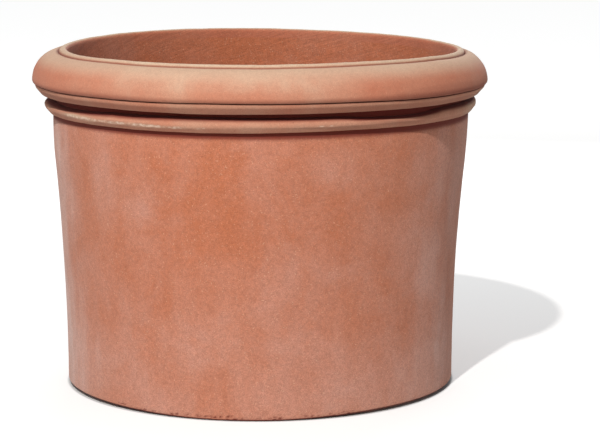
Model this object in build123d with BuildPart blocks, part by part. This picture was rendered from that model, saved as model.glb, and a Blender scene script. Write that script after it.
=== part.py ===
from build123d import *

import math
import os

# A large hand-built terracotta pot: a gently flared cylinder with a rolled rim over two beads.
#
# The members are the separate pieces of clay that the maker joins before firing. Each is pressed onto
# the ones made before it, and scored grooves key it in place, so members meet face to face.
# Millimetres, +Z up, with the origin on the ground at the middle of the foot.

os.makedirs("parts", exist_ok=True)

# Overall size
OUTER_RADIUS = 300.0  # widest point of the rolled rim
HEIGHT = 447.0  # crest of the lip
FOOT_RADIUS = 257.0  # outside of the wall at ground level
MOUTH_RADIUS = 256.0  # inside of the lip

# Wall: upright beside the base slab, then a long arc that flares out and eases upright into the neck
WALL_THICKNESS = 19.0
FLARE_RADIUS = 2700.0
FLARE_END_Z = 290.0  # above this the outer face eases back to upright
NECK_RADIUS = 274.0  # upright outer face behind the beads and the rim
INNER_TURN_Z = 260.0  # the inside stops flaring here and turns upright towards the mouth
SHOULDER_Z = 424.0  # step in the outer face that the rim roll hooks over
FOOT_ROUNDING = 4.0

# Base slab and its drain hole
SLAB_THICKNESS = 22.0
SLAB_FLANGE_THICKNESS = 10.0  # the lower half reaches under the wall
SLAB_FLANGE_RADIUS = 247.0
DRAIN_RADIUS = 18.0
DRAIN_ROUNDING = 3.0

# Coil pressed into the inside corner of wall and slab
CORNER_COIL_LEG = 20.0
CORNER_COIL_HOLLOW = 2.5  # how far its face is hollowed by the thumb

# Lip coil, laid on the wall's edge
LIP_BASE_Z = 434.0
LIP_WIDTH = 11.5
LIP_INNER_ROUNDING = 5.0

# Rim roll: a quarter ellipse above its widest point, a curl below it
ROLL_WIDEST_Z = 406.0
ROLL_DEPTH = 35.0  # from the ellipse's centre out to the widest point
ROLL_RISE = 37.0  # from the widest point up to the top of the ellipse
ROLL_CURL_RADIUS = 10.0
ROLL_INNER_ROUNDING = 2.5  # top edge beside the lip, which leaves a narrow groove
SEAM_Z = 399.5  # underside of the roll, on top of the under bead
INCISION_DEPTH = 3.0  # line cut around the seam
INCISION_HALF_WIDTH = 0.9

# Both beads turn under around a rounded nose to a plain slanting face that ends in an arris
BEAD_TURN = 40.0  # degrees from upright to square with the slanting face

# Under bead, hanging under the roll
UNDER_BEAD_RADIUS = 296.5
UNDER_BEAD_BOTTOM_Z = 386.5
UNDER_BEAD_NOSE = 9.0  # radius of the turn

# Collar bead, around the neck
COLLAR_BEAD_RADIUS = 284.5
COLLAR_BEAD_TOP_Z = 381.5
COLLAR_BEAD_WIDEST_Z = 372.0
COLLAR_BEAD_BOTTOM_Z = 362.0
COLLAR_BEAD_NOSE = 8.0

# Scored grooves that key one member to the next
KEY_RADIUS = 2.5
ROLL_KEY_Z = 412.0
UNDER_BEAD_KEY_Z = 393.0

slab_radius = FOOT_RADIUS - WALL_THICKNESS
flare_centre_r = FOOT_RADIUS + FLARE_RADIUS
roll_centre_r = OUTER_RADIUS - ROLL_DEPTH
lip_outer_radius = MOUTH_RADIUS + LIP_WIDTH
lip_crest_r = MOUTH_RADIUS + LIP_INNER_ROUNDING
lip_outer_rounding = LIP_WIDTH - LIP_INNER_ROUNDING
lip_key = (MOUTH_RADIUS + LIP_WIDTH / 2, LIP_BASE_Z)
collar_key = (NECK_RADIUS, COLLAR_BEAD_WIDEST_Z)
under_bead_key = (NECK_RADIUS, UNDER_BEAD_KEY_Z)
roll_key = (NECK_RADIUS, ROLL_KEY_Z)


def outside(z):
    """Radius of the wall's flared outer face at height z."""
    return flare_centre_r - math.sqrt(FLARE_RADIUS**2 - (z - SLAB_THICKNESS) ** 2)


def inside(z):
    """Radius of the wall's inner face at height z, below INNER_TURN_Z."""
    radius = FLARE_RADIUS + WALL_THICKNESS
    return flare_centre_r - math.sqrt(radius**2 - (z - SLAB_THICKNESS) ** 2)


def turned_under(radius, z, nose, bottom_z):
    """Ends of a bead's slanting face, for a nose that starts its turn at this radius and height."""
    turn = math.radians(BEAD_TURN)
    top = (radius - nose * (1 - math.cos(turn)), z - nose * math.sin(turn))
    return top, (top[0] - (top[1] - bottom_z) * math.tan(turn), bottom_z)


def ellipse_height(r):
    """Height of the rim roll's elliptical top at radius r."""
    across = (r - roll_centre_r) / ROLL_DEPTH
    return ROLL_WIDEST_Z + ROLL_RISE * math.sqrt(1 - across**2)


# Wall: from the ground to the seat of the lip coil, rebated over the slab's flange
flare_angle = math.asin((FLARE_END_Z - SLAB_THICKNESS) / FLARE_RADIUS)
neck_ease_radius = (NECK_RADIUS - outside(FLARE_END_Z)) / (1 - math.cos(flare_angle))
flare_middle_z = (SLAB_THICKNESS + FLARE_END_Z) / 2
inner_middle_z = (SLAB_THICKNESS + INNER_TURN_Z) / 2
with BuildPart() as wall:
    with BuildSketch(Plane.XZ) as wall_section:
        with BuildLine():
            Line((SLAB_FLANGE_RADIUS, 0), (FOOT_RADIUS, 0))
            Line((FOOT_RADIUS, 0), (FOOT_RADIUS, SLAB_THICKNESS))
            flare = ThreePointArc(
                (FOOT_RADIUS, SLAB_THICKNESS),
                (outside(flare_middle_z), flare_middle_z),
                (outside(FLARE_END_Z), FLARE_END_Z),
            )
            neck_ease = JernArc(flare @ 1, flare % 1, neck_ease_radius, math.degrees(flare_angle))
            Polyline(
                neck_ease @ 1,
                (NECK_RADIUS, SHOULDER_Z),
                (lip_outer_radius, SHOULDER_Z),
                (lip_outer_radius, LIP_BASE_Z),
                (MOUTH_RADIUS, LIP_BASE_Z),
            )
            inner_flare = ThreePointArc(
                (slab_radius, SLAB_THICKNESS),
                (inside(inner_middle_z), inner_middle_z),
                (inside(INNER_TURN_Z), INNER_TURN_Z),
            )
            TangentArc(inner_flare @ 1, (MOUTH_RADIUS, LIP_BASE_Z), tangent=inner_flare % 1)
            Polyline(
                (slab_radius, SLAB_THICKNESS),
                (slab_radius, SLAB_FLANGE_THICKNESS),
                (SLAB_FLANGE_RADIUS, SLAB_FLANGE_THICKNESS),
                (SLAB_FLANGE_RADIUS, 0),
            )
        make_face()
        with Locations(collar_key, under_bead_key, roll_key, lip_key):
            Circle(KEY_RADIUS, mode=Mode.SUBTRACT)
        foot_corner = wall_section.vertices().group_by(Axis.Y)[0].sort_by(Axis.X)[-1]
        fillet(foot_corner, FOOT_ROUNDING)
    revolve(axis=Axis.Z)
wall.part.label = "wall"
export_step(wall.part, "parts/wall.step")

# Base slab: a disc whose lower half spreads under the wall, with one drain hole
with BuildPart() as base_slab:
    Cylinder(
        SLAB_FLANGE_RADIUS,
        SLAB_FLANGE_THICKNESS,
        align=(Align.CENTER, Align.CENTER, Align.MIN),
    )
    with BuildSketch(Plane.XY.offset(SLAB_FLANGE_THICKNESS)):
        Circle(slab_radius)
    extrude(amount=SLAB_THICKNESS - SLAB_FLANGE_THICKNESS)
    Hole(DRAIN_RADIUS)
    hole_rims = base_slab.edges().filter_by(GeomType.CIRCLE).group_by(SortBy.RADIUS)[0]
    fillet(hole_rims, DRAIN_ROUNDING)
base_slab.part.label = "base_slab"
export_step(base_slab.part, "parts/base_slab.step")

# Corner coil: pressed into the corner and smeared to a slightly hollow face
coil_top_z = SLAB_THICKNESS + CORNER_COIL_LEG
coil_toe_r = slab_radius - CORNER_COIL_LEG
hollow = CORNER_COIL_HOLLOW / math.sqrt(2)
coil_face_middle = (
    slab_radius - CORNER_COIL_LEG / 2 + hollow,
    SLAB_THICKNESS + CORNER_COIL_LEG / 2 - hollow,
)
with BuildPart() as corner_coil:
    with BuildSketch(Plane.XZ):
        with BuildLine():
            Polyline(
                (coil_toe_r, SLAB_THICKNESS),
                (SLAB_FLANGE_RADIUS, SLAB_THICKNESS),
                (SLAB_FLANGE_RADIUS, coil_top_z),
                (slab_radius, coil_top_z),
            )
            ThreePointArc((slab_radius, coil_top_z), coil_face_middle, (coil_toe_r, SLAB_THICKNESS))
        make_face()
    revolve(axis=Axis.Z)
    add(wall.part, mode=Mode.SUBTRACT)
corner_coil.part.label = "corner_coil"
export_step(corner_coil.part, "parts/corner_coil.step")

# Lip coil: upright sides under a rounded crest that is nearer the mouth
lip_inner_top_z = HEIGHT - LIP_INNER_ROUNDING
lip_outer_top_z = HEIGHT - lip_outer_rounding
with BuildPart() as lip_coil:
    with BuildSketch(Plane.XZ):
        with BuildLine():
            Line((MOUTH_RADIUS, LIP_BASE_Z), (MOUTH_RADIUS, lip_inner_top_z))
            JernArc((MOUTH_RADIUS, lip_inner_top_z), (0, 1), LIP_INNER_ROUNDING, -90)
            JernArc((lip_crest_r, HEIGHT), (1, 0), lip_outer_rounding, -90)
            Polyline(
                (lip_outer_radius, lip_outer_top_z),
                (lip_outer_radius, LIP_BASE_Z),
                (MOUTH_RADIUS, LIP_BASE_Z),
            )
        make_face()
        with Locations(lip_key):
            Circle(KEY_RADIUS)
    revolve(axis=Axis.Z)
lip_coil.part.label = "lip_coil"
export_step(lip_coil.part, "parts/lip_coil.step")

# Under bead: its top carries the rim roll, and the outer edge of the top is cut by the incised line
incision_r = UNDER_BEAD_RADIUS - INCISION_DEPTH
under_nose_z = SEAM_Z - INCISION_HALF_WIDTH
under_slant_top, under_slant_end = turned_under(
    UNDER_BEAD_RADIUS, under_nose_z, UNDER_BEAD_NOSE, UNDER_BEAD_BOTTOM_Z
)
with BuildPart() as under_bead:
    with BuildSketch(Plane.XZ):
        with BuildLine():
            Polyline((NECK_RADIUS, SEAM_Z), (incision_r, SEAM_Z), (UNDER_BEAD_RADIUS, under_nose_z))
            JernArc((UNDER_BEAD_RADIUS, under_nose_z), (0, -1), UNDER_BEAD_NOSE, -BEAD_TURN)
            Polyline(
                under_slant_top,
                under_slant_end,
                (NECK_RADIUS, UNDER_BEAD_BOTTOM_Z),
                (NECK_RADIUS, SEAM_Z),
            )
        make_face()
        with Locations(under_bead_key):
            Circle(KEY_RADIUS)
    revolve(axis=Axis.Z)
under_bead.part.label = "under_bead"
export_step(under_bead.part, "parts/under_bead.step")

# Rim roll: folded over the wall's shoulder, against the lip coil and down onto the under bead
roll_edge_r = lip_outer_radius + ROLL_INNER_ROUNDING
roll_edge_z = ellipse_height(roll_edge_r)
roll_middle_r = roll_centre_r + ROLL_DEPTH * math.sqrt(0.5)
curl_centre_r = OUTER_RADIUS - ROLL_CURL_RADIUS
curl_end_z = SEAM_Z + INCISION_HALF_WIDTH
curl_end_r = curl_centre_r + math.sqrt(ROLL_CURL_RADIUS**2 - (ROLL_WIDEST_Z - curl_end_z) ** 2)
curl_angle = math.degrees(math.asin((ROLL_WIDEST_Z - curl_end_z) / ROLL_CURL_RADIUS))
ellipse_start = math.degrees(math.acos((roll_edge_r - roll_centre_r) / ROLL_DEPTH))
with BuildPart() as rim_roll:
    with BuildSketch(Plane.XZ):
        with BuildLine():
            EllipticalCenterArc(
                (roll_centre_r, ROLL_WIDEST_Z),
                ROLL_DEPTH,
                ROLL_RISE,
                start_angle=0,
                arc_size=ellipse_start,
            )
            JernArc((OUTER_RADIUS, ROLL_WIDEST_Z), (0, -1), ROLL_CURL_RADIUS, -curl_angle)
            Polyline(
                (curl_end_r, curl_end_z),
                (incision_r, SEAM_Z),
                (NECK_RADIUS, SEAM_Z),
                (NECK_RADIUS, SHOULDER_Z),
                (lip_outer_radius, SHOULDER_Z),
                (lip_outer_radius, roll_edge_z - ROLL_INNER_ROUNDING),
            )
            RadiusArc(
                (lip_outer_radius, roll_edge_z - ROLL_INNER_ROUNDING),
                (roll_edge_r, roll_edge_z),
                ROLL_INNER_ROUNDING,
            )
        make_face()
        with Locations(roll_key):
            Circle(KEY_RADIUS)
    revolve(axis=Axis.Z)
rim_roll.part.label = "rim_roll"
export_step(rim_roll.part, "parts/rim_roll.step")

# Collar bead: a quarter ellipse over its nose, around the foot of the neck
collar_back_r = NECK_RADIUS - KEY_RADIUS
collar_slant_top, collar_slant_end = turned_under(
    COLLAR_BEAD_RADIUS, COLLAR_BEAD_WIDEST_Z, COLLAR_BEAD_NOSE, COLLAR_BEAD_BOTTOM_Z
)
with BuildPart() as collar_bead:
    with BuildSketch(Plane.XZ):
        with BuildLine():
            EllipticalCenterArc(
                (NECK_RADIUS, COLLAR_BEAD_WIDEST_Z),
                COLLAR_BEAD_RADIUS - NECK_RADIUS,
                COLLAR_BEAD_TOP_Z - COLLAR_BEAD_WIDEST_Z,
                start_angle=0,
                arc_size=90,
            )
            JernArc((COLLAR_BEAD_RADIUS, COLLAR_BEAD_WIDEST_Z), (0, -1), COLLAR_BEAD_NOSE, -BEAD_TURN)
            Polyline(
                collar_slant_top,
                collar_slant_end,
                (collar_back_r, COLLAR_BEAD_BOTTOM_Z),
                (collar_back_r, COLLAR_BEAD_TOP_Z),
                (NECK_RADIUS, COLLAR_BEAD_TOP_Z),
            )
        make_face()
        with Locations(collar_key):
            Circle(KEY_RADIUS)
    revolve(axis=Axis.Z)
    add(wall.part, mode=Mode.SUBTRACT)
collar_bead.part.label = "collar_bead"
export_step(collar_bead.part, "parts/collar_bead.step")
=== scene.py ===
# Looks of the terracotta pot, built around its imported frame. Metres, +Z up, front towards -Y.
import itertools
import math

import bpy
import numpy as np
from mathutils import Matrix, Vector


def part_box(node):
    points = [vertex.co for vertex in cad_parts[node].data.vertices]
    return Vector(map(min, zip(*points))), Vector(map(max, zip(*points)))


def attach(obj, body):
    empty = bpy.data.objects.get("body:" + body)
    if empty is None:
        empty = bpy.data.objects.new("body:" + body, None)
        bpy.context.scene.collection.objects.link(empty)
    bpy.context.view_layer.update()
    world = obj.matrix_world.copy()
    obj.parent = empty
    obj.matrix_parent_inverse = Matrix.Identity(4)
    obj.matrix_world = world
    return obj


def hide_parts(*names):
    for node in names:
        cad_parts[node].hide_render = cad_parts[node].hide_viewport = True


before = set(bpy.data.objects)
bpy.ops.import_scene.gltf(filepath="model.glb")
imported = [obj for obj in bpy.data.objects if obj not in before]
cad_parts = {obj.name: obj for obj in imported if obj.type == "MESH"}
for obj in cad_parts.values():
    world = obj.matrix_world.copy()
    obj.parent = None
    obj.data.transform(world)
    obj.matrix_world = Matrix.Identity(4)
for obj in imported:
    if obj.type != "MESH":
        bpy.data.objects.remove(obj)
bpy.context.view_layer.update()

# ---------------------------------------------------------------- sizes
MM = 0.001
MOUTH_RADIUS = 256 * MM
FOOT_RADIUS = 257 * MM
WALL_THICKNESS = 19 * MM
FLARE_RADIUS = 2700 * MM
FLARE_END_Z = 290 * MM
INNER_TURN_Z = 260 * MM
SHOULDER_Z = 424 * MM
FOOT_ROUNDING = 4 * MM
LIP_INNER_ROUNDING = 5 * MM
ROLL_WIDEST_Z = 406 * MM
ROLL_DEPTH = 35 * MM
ROLL_RISE = 37 * MM
ROLL_CURL_RADIUS = 10 * MM
ROLL_EDGE_ROUNDING = 2.5 * MM
INCISION_DEPTH = 3 * MM
INCISION_HALF_WIDTH = 0.9 * MM
BEAD_TURN = 40  # degrees
UNDER_BEAD_NOSE = 9 * MM
COLLAR_BEAD_NOSE = 8 * MM
COLLAR_BEAD_WIDEST_Z = 372 * MM
DRAIN_RADIUS = 18 * MM
DRAIN_ROUNDING = 3 * MM
COMB_LOW_Z = 310 * MM  # the brush marks inside are modelled down to here, only coloured below
BITE = 1 * MM  # how far a pressed-on member sinks into the one behind it, out of sight
SHARP_ANGLE = 48  # degrees: edges that turn more than this are shaded as arrises
HIDDEN_STEP = 20 * MM  # the spacing of rows on faces that are pressed against a neighbour

wall_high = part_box("wall")[1]
slab_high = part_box("base_slab")[1]
coil_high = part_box("corner_coil")[1]
lip_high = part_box("lip_coil")[1]
roll_low, roll_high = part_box("rim_roll")
under_low, under_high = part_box("under_bead")
collar_low, collar_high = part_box("collar_bead")

height = lip_high.z
outer_radius = roll_high.x
neck_radius = wall_high.x
lip_base_z = wall_high.z
lip_outer_radius = lip_high.x
slab_top_z = slab_high.z
slab_flange_radius = slab_high.x
slab_radius = FOOT_RADIUS - WALL_THICKNESS
seam_z = roll_low.z
flare_centre_r = FOOT_RADIUS + FLARE_RADIUS
flare_angle = math.asin((FLARE_END_Z - slab_top_z) / FLARE_RADIUS)
flare_end_r = flare_centre_r - FLARE_RADIUS * math.cos(flare_angle)
neck_ease_radius = (neck_radius - flare_end_r) / (1 - math.cos(flare_angle))
neck_z = FLARE_END_Z + neck_ease_radius * math.sin(flare_angle)


def outside(z):
    """Radius of the wall's outer face at height z: the flare, then the ease to the upright neck."""
    up_flare = np.minimum(z, FLARE_END_Z) - slab_top_z
    flare = flare_centre_r - np.sqrt(FLARE_RADIUS**2 - up_flare**2)
    below_neck = np.clip(neck_z - z, 0, neck_z - FLARE_END_Z)
    ease = neck_radius - neck_ease_radius + np.sqrt(neck_ease_radius**2 - below_neck**2)
    return np.where(z < FLARE_END_Z, flare, ease)


def inside(z):
    """Radius of the wall's inner face at height z: parallel to the outside, upright on top."""
    radius = FLARE_RADIUS + WALL_THICKNESS
    turn_r = flare_centre_r - math.sqrt(radius**2 - (INNER_TURN_Z - slab_top_z) ** 2)
    along = np.clip((z - INNER_TURN_Z) / (lip_base_z - INNER_TURN_Z), 0, 1)
    up_flare = np.minimum(z, INNER_TURN_Z) - slab_top_z
    parallel = flare_centre_r - np.sqrt(radius**2 - up_flare**2)
    return parallel + (MOUTH_RADIUS - turn_r) * (2 * along - along**2)


# ---------------------------------------------------------------- sections
# A section runs with the clay on its left. Each row is radius, height and how much the surface
# shows the hand's unevenness: 1 where it is seen, 0 where it is pressed against a neighbour.
def straight(start, end, step, seen=1.0):
    """Rows from start up to, but not including, end."""
    count = max(1, round(math.dist(start, end) / step))
    along = np.linspace(0, 1, count, endpoint=False)[:, None]
    points = np.array(start) * (1 - along) + np.array(end) * along
    return np.column_stack([points, np.full(count, seen)])


def hidden(start, end):
    """Rows from start up to, but not including, end, on a face pressed against a neighbour."""
    return straight(start, end, HIDDEN_STEP, 0)


def curve(centre, radii, first, last, step, seen=1.0):
    """Rows along an elliptical arc between two angles in degrees, without its end."""
    count = max(2, round(abs(math.radians(last - first)) * max(radii) / step))
    angles = np.radians(np.linspace(first, last, count, endpoint=False))
    r = centre[0] + radii[0] * np.cos(angles)
    z = centre[1] + radii[1] * np.sin(angles)
    return np.column_stack([r, z, np.full(count, seen)])


def face(radius_at, low, high, step, seen=1.0):
    """Rows up or down a face whose radius is a function of height, without its end."""
    count = max(2, round(abs(high - low) / step))
    z = np.linspace(low, high, count, endpoint=False)
    return np.column_stack([radius_at(z), z, np.full(count, seen)])


def wall_section():
    fine_top = 16 * MM
    rounding = (FOOT_RADIUS - FOOT_ROUNDING, FOOT_ROUNDING)
    rebate_z = slab_top_z / 2
    return np.vstack([
        straight((slab_flange_radius, 0), (rounding[0], 0), 2 * MM),
        curve(rounding, (FOOT_ROUNDING, FOOT_ROUNDING), -90, 0, 1.3 * MM),
        straight((FOOT_RADIUS, FOOT_ROUNDING), (FOOT_RADIUS, fine_top), 1.5 * MM),
        straight((FOOT_RADIUS, fine_top), (FOOT_RADIUS, slab_top_z), 3 * MM),
        face(outside, slab_top_z, collar_low.z - 14 * MM, 9 * MM),
        face(outside, collar_low.z - 14 * MM, collar_low.z + BITE, 2 * MM),
        face(outside, collar_low.z + BITE, collar_high.z - BITE, 8 * MM, 0),
        straight((neck_radius, collar_high.z - BITE), (neck_radius, under_low.z + BITE), 2 * MM),
        hidden((neck_radius, under_low.z + BITE), (neck_radius, SHOULDER_Z)),
        hidden((neck_radius, SHOULDER_Z), (lip_outer_radius, SHOULDER_Z)),
        hidden((lip_outer_radius, SHOULDER_Z), (lip_outer_radius, lip_base_z)),
        hidden((lip_outer_radius, lip_base_z), (MOUTH_RADIUS, lip_base_z)),
        face(inside, lip_base_z, COMB_LOW_Z, 4 * MM),
        face(inside, COMB_LOW_Z, coil_high.z, 16 * MM),
        face(inside, coil_high.z, slab_top_z, 10 * MM, 0),
        hidden((slab_radius, slab_top_z), (slab_radius, rebate_z)),
        hidden((slab_radius, rebate_z), (slab_flange_radius, rebate_z)),
        hidden((slab_flange_radius, rebate_z), (slab_flange_radius, 0)),
    ])


def slab_section():
    hole = DRAIN_RADIUS + DRAIN_ROUNDING
    turn = (DRAIN_ROUNDING, DRAIN_ROUNDING)
    edge = slab_radius + BITE
    flange_z = 9 * MM
    top_turn_z = slab_top_z - DRAIN_ROUNDING
    return np.vstack([
        straight((hole, 0), (slab_flange_radius, 0), 7 * MM),
        hidden((slab_flange_radius, 0), (slab_flange_radius, flange_z)),
        hidden((slab_flange_radius, flange_z), (edge, flange_z)),
        hidden((edge, flange_z), (edge, slab_top_z)),
        straight((edge, slab_top_z), (hole, slab_top_z), 6 * MM),
        curve((hole, top_turn_z), turn, 90, 180, 1.2 * MM),
        straight((DRAIN_RADIUS, top_turn_z), (DRAIN_RADIUS, DRAIN_ROUNDING), 2 * MM),
        curve((hole, DRAIN_ROUNDING), turn, 180, 270, 1.2 * MM),
    ])


def coil_section():
    """The coil in the inside corner, with the hollow face that a thumb leaves."""
    leg = coil_high.z - slab_top_z
    top = (float(inside(coil_high.z)), coil_high.z)
    toe = (slab_radius - leg, slab_top_z)
    back_r = slab_radius + 2 * BITE
    below_z = slab_top_z - BITE
    hollow_depth = 2.5 * MM
    along = np.linspace(0, 1, 14, endpoint=False)
    hollow = hollow_depth * 4 * along * (1 - along) / math.sqrt(2)
    r = top[0] * (1 - along) + toe[0] * along + hollow
    z = top[1] * (1 - along) + toe[1] * along - hollow
    return np.vstack([
        np.column_stack([r, z, np.ones(along.size)]),
        hidden(toe, (toe[0], below_z)),
        hidden((toe[0], below_z), (back_r, below_z)),
        hidden((back_r, below_z), (top[0] + BITE, top[1])),
    ])


def lip_section():
    crest_r = MOUTH_RADIUS + LIP_INNER_ROUNDING
    outer_rounding = lip_outer_radius - crest_r
    outer_z = height - outer_rounding
    inner_z = height - LIP_INNER_ROUNDING
    below_inner = (MOUTH_RADIUS + 2 * BITE, lip_base_z - BITE)
    below_outer = (lip_outer_radius - BITE, lip_base_z - BITE)
    return np.vstack([
        straight((MOUTH_RADIUS, lip_base_z), below_inner, HIDDEN_STEP),
        hidden(below_inner, below_outer),
        hidden(below_outer, (lip_outer_radius, lip_base_z)),
        straight((lip_outer_radius, lip_base_z), (lip_outer_radius, outer_z), 1 * MM),
        curve((crest_r, outer_z), (outer_rounding, outer_rounding), 0, 90, 0.8 * MM),
        curve((crest_r, inner_z), (LIP_INNER_ROUNDING, LIP_INNER_ROUNDING), 90, 180, 0.8 * MM),
        straight((MOUTH_RADIUS, inner_z), (MOUTH_RADIUS, lip_base_z), 2 * MM),
    ])


def roll_section():
    centre = (outer_radius - ROLL_DEPTH, ROLL_WIDEST_Z)
    curl_centre = (outer_radius - ROLL_CURL_RADIUS, ROLL_WIDEST_Z)
    curl_end_z = seam_z + INCISION_HALF_WIDTH
    curl_drop = ROLL_WIDEST_Z - curl_end_z
    curl_angle = math.degrees(math.asin(curl_drop / ROLL_CURL_RADIUS))
    curl_end_r = curl_centre[0] + math.sqrt(ROLL_CURL_RADIUS**2 - curl_drop**2)
    incision_r = under_high.x - INCISION_DEPTH
    edge_r = lip_outer_radius + ROLL_EDGE_ROUNDING
    edge_angle = math.degrees(math.acos((edge_r - centre[0]) / ROLL_DEPTH))
    edge_z = centre[1] + ROLL_RISE * math.sin(math.radians(edge_angle))
    rounding = (ROLL_EDGE_ROUNDING, ROLL_EDGE_ROUNDING)
    edge_turn_z = edge_z - ROLL_EDGE_ROUNDING
    groove_z = edge_turn_z - ROLL_EDGE_ROUNDING
    seat_r = neck_radius - BITE
    seat_z = SHOULDER_Z - BITE
    inner_r = lip_outer_radius - BITE
    return np.vstack([
        hidden((seat_r, seam_z), (incision_r, seam_z)),
        straight((incision_r, seam_z), (curl_end_r, curl_end_z), 0.8 * MM),
        curve(curl_centre, (ROLL_CURL_RADIUS, ROLL_CURL_RADIUS), -curl_angle, 0, 0.8 * MM),
        curve(centre, (ROLL_DEPTH, ROLL_RISE), 0, edge_angle, 1.2 * MM),
        curve((edge_r, edge_turn_z), rounding, 90, 180, 0.7 * MM),
        straight((lip_outer_radius, edge_turn_z), (inner_r, groove_z), 1 * MM),
        hidden((inner_r, groove_z), (inner_r, seat_z)),
        hidden((inner_r, seat_z), (seat_r, seat_z)),
        hidden((seat_r, seat_z), (seat_r, seam_z)),
    ])


def under_nose(radius, z, nose, bottom_z):
    """Rows around a bead's nose and down its slanting face to its arris, and the arris itself."""
    turn = math.radians(BEAD_TURN)
    top = (radius - nose * (1 - math.cos(turn)), z - nose * math.sin(turn))
    end = (top[0] - (top[1] - bottom_z) * math.tan(turn), bottom_z)
    rows = np.vstack([
        curve((radius - nose, z), (nose, nose), 0, -BEAD_TURN, 0.8 * MM),
        straight(top, end, 0.9 * MM),
    ])
    return rows, end


def under_bead_section():
    incision_r = under_high.x - INCISION_DEPTH
    nose_z = seam_z - INCISION_HALF_WIDTH
    nose, end = under_nose(under_high.x, nose_z, UNDER_BEAD_NOSE, under_low.z)
    seat_r = neck_radius - BITE
    rows = np.vstack([
        hidden((seat_r, seam_z), (incision_r, seam_z)),
        straight((incision_r, seam_z), (under_high.x, nose_z), 0.8 * MM),
        nose,
        straight(end, (seat_r, end[1]), 1.5 * MM),
        hidden((seat_r, end[1]), (seat_r, seam_z)),
    ])
    return rows[::-1]


def collar_bead_section():
    radii = (collar_high.x - neck_radius, collar_high.z - COLLAR_BEAD_WIDEST_Z)
    nose, end = under_nose(collar_high.x, COLLAR_BEAD_WIDEST_Z, COLLAR_BEAD_NOSE, collar_low.z)
    seat_r = neck_radius - 2 * BITE
    over = curve((neck_radius, COLLAR_BEAD_WIDEST_Z), radii, 90, 0, 0.9 * MM)
    rows = np.vstack([
        hidden((seat_r, collar_high.z), (neck_radius, collar_high.z)),
        over,
        nose,
        straight(end, (seat_r, end[1]), 1.5 * MM),
        hidden((seat_r, end[1]), (seat_r, collar_high.z)),
    ])
    return rows[::-1]


# ---------------------------------------------------------------- unevenness
def lattice_noise(points, cell, seed):
    """Smooth noise between -1 and 1 with features about one cell wide."""
    size = 32
    table = np.random.default_rng(seed).uniform(-1, 1, (size, size, size))
    grid = points / cell + 1000.0
    low = np.floor(grid).astype(int)
    part = grid - low
    part = part * part * (3 - 2 * part)
    total = np.zeros(points.shape[:-1])
    for corner in itertools.product((0, 1), repeat=3):
        index = (low + corner) % size
        share = np.prod(np.where(corner, part, 1 - part), axis=-1)
        total += share * table[index[..., 0], index[..., 1], index[..., 2]]
    return total


def smooth(value, low, high):
    """0 below low, 1 above high, and a smooth rise between them."""
    part = np.clip((value - low) / (high - low), 0, 1)
    return part * part * (3 - 2 * part)


def band(z, low, rise_end, fall_start, high):
    """0 below low, 1 from rise_end to fall_start and 0 above high, all four in mm."""
    return smooth(z, low * MM, rise_end * MM) * smooth(-z, -high * MM, -fall_start * MM)


def on_pot(angle, radius, z):
    """The point at that radius and height, at an angle in degrees from the front to the right."""
    turn = math.radians(angle)
    return np.array([radius * math.sin(turn), -radius * math.cos(turn), z])


COMB_SLANT = 17  # degrees that the brush's strokes rise towards the right
COMB_DEPTH = 0.12 * MM
MOUTH_SHIFT = 2.4 * MM  # the mouth sits a little to the right of the rim's centre
LEAN = 1.0 * MM  # and the upper half of the wall leans the same way
BEAD_TILT = 0.9 * MM  # the beads run a little higher at the left
RIM_SAG = 1.75 * MM  # the rim is lower than planned, most of all front left and back right
SIDE_SAG = 0.8 * MM  # and lower still at both sides, most of all at the right
FOOT_GAP = 3.4 * MM  # the foot's edge is off the ground at the sides
UNDER_THINNED = 1.3 * MM  # the under bead's lower edge is higher from the front to the right
INCISION_WAVE = 1.5 * MM  # the incised line rises at the front
COLLAR_FLATTENED = 2.8 * MM  # the collar bead's lower edge is higher from the front to the right
COLLAR_SLUMP = 2 * MM  # its nose is higher there, and its upper edge is lower at both sides
OVAL = 0.0012  # the share by which the mouth is wider from front to back, and narrower across


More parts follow.
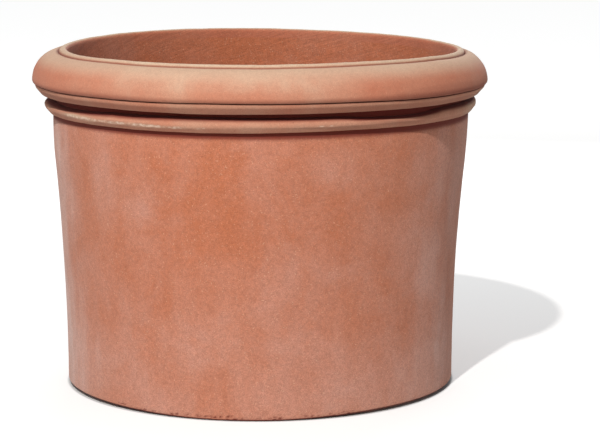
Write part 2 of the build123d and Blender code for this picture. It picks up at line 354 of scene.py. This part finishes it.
def settle(points):
    """The whole pot's slight distortion from handling and firing, the same for every member."""
    x, y, z = np.moveaxis(points, -1, 0)
    radius = np.hypot(x, y)
    across = x / np.maximum(radius, MM)  # -1 at the left, 1 at the right
    ahead = -y / np.maximum(radius, MM)  # 1 at the front, -1 at the back
    up = z / height
    # Swell is outwards and lift upwards: slow waves around the pot, then quicker and smaller ones.
    swell = lattice_noise(points * (1, 1, 0.6), 150 * MM, 11) * 0.6 * MM * smooth(z, 0, 60 * MM)
    swell += lattice_noise(points, 55 * MM, 12) * 0.3 * MM * smooth(z, 4 * MM, 40 * MM)
    lift = lattice_noise(points * (1, 1, 0.3), 110 * MM, 13) * 0.4 * MM
    lift += lattice_noise(points * (1, 1, 0.3), 38 * MM, 14) * 0.22 * MM
    lift += 0.4 * MM - BEAD_TILT * across
    # The mouldings' own unevenness, each over its band of heights.
    thinned = smooth(across, -0.35, 0.05) * band(z, 380, 386, 390, 398)
    waved = smooth(-np.abs(across - 0.1), -0.6, -0.2) * band(z, 388, 397, 400, 410)
    flattened = smooth(across, -0.6, 0.35) * band(z, 350, 361, 364, 369)
    raised = smooth(across, -0.4, 0) * band(z, 364, 368, 373, 382)
    at_left = smooth(-across, 0.25, 0.65)
    at_right = 0.9 * smooth(across, 0.3, 0.45) * smooth(-across, -0.85, -0.7)
    lowered = (at_left + at_right) * band(z, 371, 378, 383, 386)
    lift += UNDER_THINNED * thinned + INCISION_WAVE * waved + COLLAR_FLATTENED * flattened
    lift += COLLAR_SLUMP * (raised - lowered)
    tilt = 0.43 * ahead + 0.14 * across
    twist = 0.29 * (across**2 - ahead**2) - 1.37 * across * ahead
    sag = RIM_SAG * (1 + tilt + twist)
    sag += SIDE_SAG * (smooth(np.abs(across), 0.7, 0.95) + smooth(across, 0.8, 1))
    moved_z = z + lift * smooth(z, 330 * MM, 370 * MM) - sag * smooth(z, 396 * MM, 412 * MM)
    edge = smooth(radius, 246 * MM, 254 * MM) * smooth(-z, -12 * MM, 0)
    moved_z += FOOT_GAP * edge * smooth(np.abs(across + 0.1), 0.1, 0.8)
    mouth = smooth(-radius, -290 * MM, -272 * MM) * smooth(z, 300 * MM, 430 * MM)
    scale = 1 + swell / np.maximum(radius, 50 * MM)
    moved_x = x * scale * (1 - OVAL * up)
    moved_x += MOUTH_SHIFT * mouth + LEAN * smooth(z, 150 * MM, 300 * MM)
    moved_y = y * scale * (1 + OVAL * up)
    return np.stack([moved_x, moved_y, moved_z], axis=-1)


def dents(points, marks):
    """Depth and tone left by marks, each (centre, half width, half height, depth, tone).

    The tone runs from 1, dark with painted shade and dirt, to -1, pale with lime."""
    depth = np.zeros(points.shape[:-1])
    tone = np.zeros(points.shape[:-1])
    for centre, wide, tall, deep, shade in marks:
        away = (points - centre) / (wide, wide, tall)
        inside_mark = np.clip(1 - np.sum(away * away, axis=-1), 0, 1)
        depth = np.maximum(depth, deep * inside_mark)
        tone += shade * inside_mark**0.5
    return depth, tone


def corner_shade(section, corners):
    """How dark each row is painted near the corners where shade falls, each (radius, height, reach,
    amount): painted shade.
    """
    tone = np.zeros(len(section))
    for radius, z, reach, amount in corners:
        away = np.hypot(section[:, 0] - radius, section[:, 1] - z)
        tone = np.maximum(tone, amount * smooth(-away, -reach, -0.5 * reach))
    return tone


def comb_marks(points):
    """Depth of the brush's slanting strokes on the inside of the mouth."""
    x, y, z = np.moveaxis(points, -1, 0)
    around = np.arctan2(x, y) * MOUTH_RADIUS
    slant = math.radians(COMB_SLANT)
    along = around * math.cos(slant) + z * math.sin(slant)
    across = z * math.cos(slant) - around * math.sin(slant)
    stroke_length = 12  # times a stroke's width
    place = np.stack([along / stroke_length, across, np.zeros_like(along)], axis=-1)
    strokes = lattice_noise(place, 5 * MM, 31) + 0.5 * lattice_noise(place, 11 * MM, 32)
    in_mouth = np.hypot(x, y) < MOUTH_RADIUS + MM
    return COMB_DEPTH * strokes * smooth(z, COMB_LOW_Z, COMB_LOW_Z + 20 * MM) * in_mouth


def lathe(name, section, segments, grain, marks=(), corners=()):
    """A closed ring or disc of clay from its section, with its unevenness, marks and painted shade
    in its corners.
    """
    r, z, seen = section.T
    step = np.roll(section[:, :2], -1, axis=0) - section[:, :2]
    hidden_next = (np.roll(seen, -1) == 0)[:, None]
    hidden_last = (np.roll(seen, 1) == 0)[:, None]
    # The direction of the surface at each row, taken from the seen side only at a hidden face.
    ahead = np.where(hidden_next, 0, step)
    ahead += np.where(hidden_last & ~hidden_next, 0, np.roll(step, 1, axis=0))
    ahead /= np.linalg.norm(ahead, axis=1)[:, None]
    turn = np.arange(segments) * 2 * math.pi / segments

    def turned(outward, upward):
        """A value outward and one upward per row, carried around the axis."""
        outward, upward = outward[:, None], np.repeat(upward[:, None], segments, 1)
        return np.stack([outward * np.cos(turn), outward * np.sin(turn), upward], axis=-1)

    planned = turned(r, z)
    normal_r, normal_z = ahead[:, 1], -ahead[:, 0]
    normals = turned(normal_r, normal_z)
    depth, tone = dents(planned, marks)
    rise = lattice_noise(planned, 14 * MM, 21) + 0.5 * lattice_noise(planned, 6 * MM, 22)
    push = seen[:, None] * (grain * rise - depth - comb_marks(planned))
    # Painted shade near the section's corners is added to the marks' tone.
    tone = np.clip(tone + corner_shade(section, corners)[:, None], -1, 1) * seen[:, None]
    inner = np.repeat(smooth(-normal_r, 0.3, 0.9)[:, None], segments, 1)
    points = settle(planned) + normals * push[..., None]
    points[..., 2] = np.maximum(points[..., 2], 0)

    rows = len(section)
    index = np.arange(rows * segments).reshape(rows, segments)
    above = np.roll(index, -1, axis=0)
    face_corners = [index, np.roll(index, -1, axis=1), np.roll(above, -1, axis=1), above]
    faces = np.stack(face_corners, axis=-1)
    mesh = bpy.data.meshes.new(name)
    mesh.from_pydata(points.reshape(-1, 3).tolist(), [], faces.reshape(-1, 4).tolist())
    mesh.shade_smooth()
    mesh.set_sharp_from_angle(angle=math.radians(SHARP_ANGLE))
    for label, values in (("tone", tone), ("inner", inner)):
        layer = mesh.attributes.new(label, "FLOAT", "POINT")
        layer.data.foreach_set("value", values.astype(np.float32).ravel())
    layer = mesh.attributes.new("planned", "FLOAT_VECTOR", "POINT")
    layer.data.foreach_set("vector", planned.astype(np.float32).ravel())
    piece = bpy.data.objects.new(name, mesh)
    bpy.context.scene.collection.objects.link(piece)
    return piece


CHIP_TONE = 0.65  # a chip holds dirt
WORN_TONE = -0.85  # and a worn place shows pale


def foot_chips(seed, first, last, groups):
    """Groups of small chips and pits along the foot's edge between two angles."""
    chance = np.random.default_rng(seed)
    marks = []
    for _ in range(groups):
        middle = chance.uniform(first, last)
        for _ in range(chance.integers(2, 8)):
            z = chance.uniform(2.5, 6.5) * MM
            wide = chance.uniform(1.2, 2.8) * MM
            centre = on_pot(middle + chance.normal(0, 2.2), FOOT_RADIUS, z)
            marks.append((centre, wide, 0.5 * wide, chance.uniform(0.4, 1.0) * MM, CHIP_TONE))
    return marks


def worn(seed, first, last, radius, z, count):
    """Small bites out of a crest between two angles, where the clay shows pale."""
    chance = np.random.default_rng(seed)
    marks = []
    for angle in chance.uniform(first, last, count):
        wide = chance.uniform(1, 4.5) * MM
        centre = on_pot(angle, radius, z + chance.uniform(-1.2, 1.2) * MM)
        tall = chance.uniform(0.8, 1.9) * MM
        marks.append((centre, wide, tall, chance.uniform(0.2, 0.6) * MM, WORN_TONE))
    return marks


# ---------------------------------------------------------------- materials
class Shader:
    """A material's nodes, added value by value. Places on clay are from before it settled."""

    def __init__(self, name, on_clay=True):
        self.material = bpy.data.materials.new(name)
        self.material.use_nodes = True
        self.tree = self.material.node_tree
        self.tree.nodes.clear()
        if on_clay:
            planned = self.node("ShaderNodeAttribute", attribute_name="planned")
            self.place = planned.outputs["Vector"]
        else:
            self.place = self.node("ShaderNodeTexCoord").outputs["Object"]

    def node(self, kind, inputs=None, **settings):
        """A new node, with each of its inputs linked to a socket or set to a value."""
        node = self.tree.nodes.new(kind)
        for key, value in settings.items():
            setattr(node, key, value)
        for key, value in (inputs or {}).items():
            if isinstance(value, bpy.types.NodeSocket):
                self.tree.links.new(value, node.inputs[key])
            else:
                node.inputs[key].default_value = value
        return node

    def finish(self, inputs):
        """The shader itself, from what goes into it."""
        surface = self.node("ShaderNodeBsdfPrincipled", inputs).outputs[0]
        self.node("ShaderNodeOutputMaterial", {"Surface": surface})

    def math(self, operation, a, b=0.0):
        return self.node("ShaderNodeMath", {0: a, 1: b}, operation=operation).outputs[0]

    def stretched(self, scale, shift=(0, 0, 0)):
        """The place on the pot with each axis scaled, for patterns that run one way."""
        inputs = {"Vector": self.place, "Scale": scale, "Location": shift}
        return self.node("ShaderNodeMapping", inputs).outputs[0]

    def noise(self, scale, detail=2.0, roughness=0.5, place=None, distortion=0.0):
        inputs = {
            "Vector": place or self.place,
            "Scale": scale,
            "Detail": detail,
            "Roughness": roughness,
            "Distortion": distortion,
        }
        return self.node("ShaderNodeTexNoise", inputs).outputs["Fac"]

    def ramp(self, value, low, high, out_low=0.0, out_high=1.0):
        """A smooth change from out_low to out_high as the value goes from low to high."""
        inputs = {
            "Value": value,
            "From Min": low,
            "From Max": high,
            "To Min": out_low,
            "To Max": out_high,
        }
        return self.node("ShaderNodeMapRange", inputs, interpolation_type="SMOOTHSTEP").outputs[0]

    def vector_math(self, operation, *values, output=0):
        inputs = dict(enumerate(values))
        return self.node("ShaderNodeVectorMath", inputs, operation=operation).outputs[output]

    def blend(self, factor, first, second, mode="MIX", beyond=False):
        """The first colour changed towards the second, and past it where beyond is set."""

        def colour(value):
            return value if isinstance(value, bpy.types.NodeSocket) else (*value, 1)

        inputs = {0: factor, 6: colour(first), 7: colour(second)}
        settings = {"data_type": "RGBA", "blend_type": mode, "clamp_factor": not beyond}
        return self.node("ShaderNodeMix", inputs, **settings).outputs[2]

    def shade(self, value):
        """A grey of that value."""
        return self.node("ShaderNodeCombineColor", {0: value, 1: value, 2: value}).outputs[0]

    def patch(self, centre, wide, tall, warp):
        """1 around a centre on the pot, falling to 0 at an uneven edge."""
        away = self.vector_math("SUBTRACT", warp, tuple(centre))
        away = self.vector_math("MULTIPLY", away, (1 / wide, 1 / wide, 1 / tall))
        length = self.vector_math("LENGTH", away, output="Value")
        return self.ramp(length, 1.15, 0.15)

    def warped(self, scale, amount):
        """The place on the pot pushed about by noise, so that patches get uneven edges."""
        inputs = {"Vector": self.place, "Scale": scale, "Detail": 3.0}
        noise = self.node("ShaderNodeTexNoise", inputs).outputs["Color"]
        centred = self.vector_math("SUBTRACT", noise, (0.5, 0.5, 0.5))
        return self.vector_math("MULTIPLY_ADD", centred, (amount, amount, amount), self.place)


CLAY = (0.405, 0.152, 0.090)
CLAY_RED = (0.380, 0.132, 0.074)
PEACH_BLOOM = (0.46, 0.300, 0.208)
PINK_BLOOM = (0.53, 0.337, 0.288)
CRUST = (0.60, 0.44, 0.34)
# Dark red for dirt in pits and chips, and for painted shade in corners, grooves, recesses and
# dents.
SHADE_AND_DIRT = (0.12, 0.013, 0.007)
SPECK = (0.60, 0.36, 0.24)

NO_FADE = (1.0, 2.0, 0.0)
LEAST_BLOOM, MOST_BLOOM = -0.3, 1.4
INNER_CLOUD = 0.15  # the share of the clouds that shows inside the mouth
INNER_BLOOM = -0.07  # and how much barer the clay is there
INNER_SHADE = 0.07  # and how much darker
BUMP_DEPTH = 0.0006


def comb_strokes(s):
    """Fine slanting lines that the brush left inside the mouth, about 4 mm apart."""
    x, y, z = s.node("ShaderNodeSeparateXYZ", {0: s.place}).outputs
    around = s.math("MULTIPLY", s.math("ARCTAN2", x, y), MOUTH_RADIUS)
    slant = math.radians(COMB_SLANT)
    up, along = math.cos(slant), math.sin(slant)
    across = s.math("SUBTRACT", s.math("MULTIPLY", z, up), s.math("MULTIPLY", around, along))
    along = s.math("ADD", s.math("MULTIPLY", around, up), s.math("MULTIPLY", z, along))
    drawn_out = s.math("MULTIPLY", along, 0.06)
    place = s.node("ShaderNodeCombineXYZ", {0: drawn_out, 1: across}).outputs[0]
    return s.noise(480.0, 2.0, 0.55, place=place)


def lime_bloom(s, inner, mottle, fade, patches, wander):
    """How much lime has dried on the clay: clouds, streaks, a fade over the height and patches."""
    height_z = s.node("ShaderNodeSeparateXYZ", {0: s.place}).outputs["Z"]
    warp = s.warped(18.0, wander)
    cloud = s.ramp(s.noise(10.0, 6.0, 0.68, distortion=0.5), 0.3, 0.75, -0.7, 0.8)
    streak = s.noise(24.0, 3.0, 0.55, place=s.stretched((1, 1, 0.2)))
    streak = s.ramp(streak, 0.35, 0.75, -0.2, 0.35)
    bloom = s.math("MULTIPLY", s.math("ADD", cloud, streak), mottle)
    none_z, all_z, fade_amount = fade
    faded = s.ramp(height_z, none_z * MM, all_z * MM, 0.0, fade_amount)
    bloom = s.math("ADD", bloom, faded)
    ragged = s.noise(30.0, 4.0, 0.6, place=s.stretched((1, 1, 0.3), (2, 0, 1)))
    ragged = s.ramp(ragged, 0.3, 0.7, 0.6, 1.4)
    for angle, radius, z, wide, tall, amount in patches:
        spot = s.patch(on_pot(angle, radius * MM, z * MM), wide * MM, tall * MM, warp)
        bloom = s.math("ADD", bloom, s.math("MULTIPLY", s.math("MULTIPLY", spot, ragged), amount))
    inside_bloom = s.math("ADD", s.math("MULTIPLY", cloud, INNER_CLOUD), INNER_BLOOM)
    bloom = s.blend(inner, s.shade(bloom), s.shade(inside_bloom))
    return s.math("MINIMUM", s.math("MAXIMUM", bloom, LEAST_BLOOM), MOST_BLOOM)


def terracotta(name, mottle, grit, fade=NO_FADE, patches=(), wander=0.008, lime=PEACH_BLOOM):
    """Fired clay: mottled body, lime bloom, sandy grain, painted shade in the corners, pits and
    pale specks.

    mottle and grit are how much the bloom and the grain vary. fade is (height of none, height of
    all, amount), and a patch is (angle, radius, height, half width, half height, amount), in mm."""
    s = Shader(name)
    inner = s.node("ShaderNodeAttribute", attribute_name="inner").outputs["Fac"]
    tone = s.node("ShaderNodeAttribute", attribute_name="tone").outputs["Fac"]

    body = s.blend(s.ramp(s.noise(5.0, 4.0, 0.6), 0.35, 0.75, 0.0, 0.45), CLAY, CLAY_RED)
    bloom = lime_bloom(s, inner, mottle, fade, patches, wander)
    colour = s.blend(bloom, body, lime, beyond=True)

    comb = s.math("MULTIPLY", s.math("SUBTRACT", comb_strokes(s), 0.5), inner)
    grain = s.noise(760.0, 3.0, 0.7)
    sand = s.noise(240.0, 2.0, 0.6)
    value = s.ramp(grain, 0.25, 0.75, 1 - grit, 1 + grit)
    value = s.math("ADD", value, s.ramp(sand, 0.3, 0.7, -0.35 * grit, 0.35 * grit))
    value = s.math("ADD", value, s.math("MULTIPLY", comb, 0.55))
    value = s.math("SUBTRACT", value, s.math("MULTIPLY", inner, INNER_SHADE))
    colour = s.blend(1.0, colour, s.shade(value), "MULTIPLY")

    speck = s.ramp(s.noise(640.0, 0.0), 0.72, 0.80)
    colour = s.blend(s.math("MULTIPLY", speck, 2 * grit), colour, SPECK)
    hole = s.noise(300.0, 1.0, place=s.stretched((1, 1, 1), (3, 1, 2)))
    hole = s.ramp(hole, 0.24, 0.18)
    colour = s.blend(s.math("MULTIPLY", hole, 0.4), colour, SHADE_AND_DIRT)
    # Where the tone is above 0: painted shade from corners, recesses and dents, and dirt in chips.
    colour = s.blend(s.math("MAXIMUM", tone, 0.0), colour, SHADE_AND_DIRT)
    flake = s.ramp(s.noise(150.0, 3.0, 0.65), 0.35, 0.6)
    paleness = s.math("MAXIMUM", s.math("MULTIPLY", tone, -1.0), 0.0)
    colour = s.blend(s.math("MULTIPLY", paleness, flake), colour, CRUST)

    relief = s.math("ADD", s.math("MULTIPLY", grain, 0.35), s.math("MULTIPLY", sand, 0.65))
    relief = s.math("SUBTRACT", relief, s.math("MULTIPLY", hole, 0.8))
    relief = s.math("ADD", relief, s.math("MULTIPLY", comb, 1.5))
    bump = s.node("ShaderNodeBump", {"Height": relief, "Strength": 0.35, "Distance": BUMP_DEPTH})
    s.finish({
        "Base Color": colour,
        "Roughness": s.ramp(sand, 0.2, 0.8, 0.82, 0.95),
        "Specular IOR Level": 0.25,
        "Sheen Weight": 0.05,
        "Sheen Roughness": 0.6,
        "Sheen Tint": (1.0, 0.93, 0.9, 1),
        "Normal": bump.outputs[0],
    })
    return s.material


# ---------------------------------------------------------------- pieces
def fit(piece, material, node):
    piece.data.materials.append(material)
    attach(piece, "root")
    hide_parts(node)


# Each patch of lime: angle, radius, height, half width, half height, amount.
wall_patches = [
    (-84, 262, 80, 150, 200, 0.82),
    (-86, 268, 300, 140, 140, 0.85),
    (-45, 260, 30, 150, 80, 0.1),
    (25, 258, 15, 160, 60, 0.1),
    (76, 266, 240, 170, 200, 0.35),
    (62, 260, 40, 190, 90, 0.27),
    (8, 259, 140, 150, 110, 0.12),
    (55, 262, 165, 45, 50, 0.35),
    (66, 262, 100, 40, 90, 0.25),
    (-47, 266, 280, 30, 85, 0.2),
    (-34, 264, 262, 35, 30, 0.15),
    (-18, 258, 95, 75, 50, 0.15),
    (22, 270, 315, 75, 40, 0.17),
]
roll_patches = [
    (-6, 295, 425, 210, 12, 0.36),
    (-30, 297, 415, 150, 24, 0.3),
    (12, 297, 413, 75, 24, 0.3),
    (150, 295, 425, 200, 12, 0.42),
]
bead_patches = [
    (78, 285, 378, 90, 30, 0.5),
    (-80, 285, 378, 60, 30, 0.3),
    (-55, 284, 368.5, 60, 5, 0.6),
    (-30, 284, 368, 70, 4, 0.5),
    (8, 285, 368, 150, 8, 0.15),
    (145, 284, 368.5, 90, 5, 0.6),
]
wall_fade = (140, 0, 0.13)
wall_clay = terracotta("wall_terracotta", 0.18, 0.23, wall_fade, wall_patches, 0.03, PINK_BLOOM)
rim_clay = terracotta("rim_terracotta", 0.12, 0.11, (422, 441, 0.98), roll_patches)
lip_clay = terracotta("lip_terracotta", 0.25, 0.14, (441, 446.5, 1.3))
bead_clay = terracotta("bead_terracotta", 0.22, 0.12, (300, 350, 0.25), bead_patches)
inner_clay = terracotta("inner_terracotta", 0.15, 0.15)

# Where shade is painted on the sections, in grooves, recesses, corners and under overhangs: radius,
# height, reach, amount.
under_corner = (neck_radius, collar_low.z, 10 * MM, 0.95)
recess = (neck_radius, (collar_high.z + under_low.z) / 2, 15 * MM, 1.0)
incision = (under_high.x - INCISION_DEPTH, seam_z, 4 * MM, 0.9)
curl_edge = (outer_radius - 2 * MM, seam_z + 1 * MM, 10 * MM, 0.28)
under_slope = (under_high.x - 5 * MM, under_low.z + 3 * MM, 7 * MM, 0.28)
collar_slope = (collar_high.x - 4 * MM, collar_low.z + 2 * MM, 5 * MM, 0.1)
lip_groove = (lip_outer_radius, roll_high.z - 2 * MM, 5 * MM, 0.5)
foot_contact = (FOOT_RADIUS - 2 * MM, 0, 3.5 * MM, 1.0)

chips = foot_chips(5, -34, 5, 9) + foot_chips(6, 8, 40, 3) + foot_chips(12, 60, 320, 15)
wall_shade = [under_corner, recess, foot_contact]
wall = lathe("wall_clay", wall_section(), 768, 0.12 * MM, chips, wall_shade)
fit(wall, wall_clay, "wall")
slab = lathe("base_slab_clay", slab_section(), 360, 0.25 * MM)
fit(slab, inner_clay, "base_slab")
coil = lathe("corner_coil_clay", coil_section(), 480, 0.4 * MM)
fit(coil, inner_clay, "corner_coil")
lip = lathe("lip", lip_section(), 1080, 0.18 * MM, corners=[lip_groove])
fit(lip, lip_clay, "lip_coil")
# Painted shade: the underside of the roll is a little darker at both sides.
side_shade = [
    (on_pot(-47, outer_radius - 2 * MM, 400 * MM), 110 * MM, 15 * MM, 0, 0.15),
    (on_pot(54, outer_radius - 2 * MM, 400 * MM), 130 * MM, 17 * MM, 0, 0.24),
]
roll_shade = [lip_groove, incision, curl_edge]
roll = lathe("rim_roll_clay", roll_section(), 1080, 0.15 * MM, side_shade, roll_shade)
fit(roll, rim_clay, "rim_roll")
under_shade = [recess, incision, under_slope]
under = lathe("under_bead_clay", under_bead_section(), 1080, 0.12 * MM, corners=under_shade)
fit(under, bead_clay, "under_bead")
crest_r = collar_high.x
crest = worn(7, -60, -26, crest_r, 368.5 * MM, 85)
crest += worn(8, -26, -14, crest_r, 367.5 * MM, 12)
crest += worn(9, 14, 18, crest_r, 368.5 * MM, 2)
crest += worn(10, 120, 165, crest_r, 369 * MM, 24)
# The bead is pressed in a little at both sides, with a little painted shade in these dents.
crest.append((on_pot(38, crest_r, 377 * MM), 75 * MM, 14 * MM, 2.2 * MM, 0.25))
crest.append((on_pot(-60, crest_r, 377 * MM), 95 * MM, 14 * MM, 2.6 * MM, 0.15))
collar_shade = [recess, collar_slope]
collar = lathe("collar_bead_clay", collar_bead_section(), 1080, 0.15 * MM, crest, collar_shade)
fit(collar, bead_clay, "collar_bead")

# ---------------------------------------------------------------- stage
FLOOR_HALF = 40.0
FLOOR_GREY = 0.52
floor_mesh = bpy.data.meshes.new("floor")
floor_signs = ((-1, -1), (1, -1), (1, 1), (-1, 1))
floor_corners = [(x * FLOOR_HALF, y * FLOOR_HALF, 0) for x, y in floor_signs]
floor_mesh.from_pydata(floor_corners, [], [(0, 1, 2, 3)])
floor = bpy.data.objects.new("floor", floor_mesh)
bpy.context.scene.collection.objects.link(floor)

# Painted light: the paper glows to the eye only, more towards the back, and hardly at all at and
# around the foot, which is a painted contact shadow on the floor.
paper = Shader("white_paper", on_clay=False)
seen = paper.node("ShaderNodeLightPath").outputs["Is Camera Ray"]
back = paper.node("ShaderNodeSeparateXYZ", {0: paper.place}).outputs["Y"]
glow = paper.ramp(back, 0.5, 3.5, 0.44, 0.79)
away = paper.vector_math("LENGTH", paper.place, output="Value")
at_foot = paper.ramp(away, 0.256, 0.260, 0.0, 0.93)
around_foot = paper.ramp(away, 0.26, 0.45, 0.0, 0.07)
glow = paper.math("MULTIPLY", glow, paper.math("ADD", at_foot, around_foot))
paper.finish({
    "Base Color": (FLOOR_GREY, FLOOR_GREY, FLOOR_GREY, 1),
    "Roughness": 1.0,
    "Specular IOR Level": 0.0,
    "Emission Color": (1, 1, 1, 1),
    "Emission Strength": paper.math("MULTIPLY", seen, glow),
})
floor_mesh.materials.append(paper.material)

key_data = bpy.data.lights.new("key_light", "POINT")
key_data.energy = 1040
key_data.shadow_soft_size = 0.06
key_data.color = (1.0, 0.97, 0.93)
key = bpy.data.objects.new("key_light", key_data)
key.location = (-0.91, -3.44, 3.50)
bpy.context.scene.collection.objects.link(key)


def softbox(name, place, turn, power):
    """A soft light 2 m wide, almost level, turned to shine towards the pot."""
    data = bpy.data.lights.new(name, "AREA")
    data.shape = "RECTANGLE"
    data.size = 2.0
    data.size_y = 1.2
    data.energy = power
    box = bpy.data.objects.new(name, data)
    box.location = place
    box.rotation_euler = (math.radians(85), 0, math.radians(turn))
    bpy.context.scene.collection.objects.link(box)


softbox("left_softbox", (-2.6, -1.2, 0.9), -65, 10)
softbox("right_softbox", (2.0, -1.6, 0.3), 51, 6)
softbox("back_softbox", (0.5, 2.4, 1.3), 168, 38)

world = bpy.data.worlds.new("studio")
world.use_nodes = True
background = world.node_tree.nodes["Background"]
background.inputs["Color"].default_value = (0.97, 0.99, 1.0, 1)
background.inputs["Strength"].default_value = 0.30
bpy.context.scene.world = world
bpy.context.scene.view_settings.view_transform = "Standard"

camera_data = bpy.data.cameras.new("camera")
camera_data.lens = 144.0
camera_data.sensor_width = 36.0
camera = bpy.data.objects.new("camera", camera_data)
camera.location = (0.0, -3.162, 0.726)
camera.rotation_euler = (math.radians(80.69), 0, -0.0169)
bpy.context.scene.collection.objects.link(camera)
bpy.context.scene.camera = camera
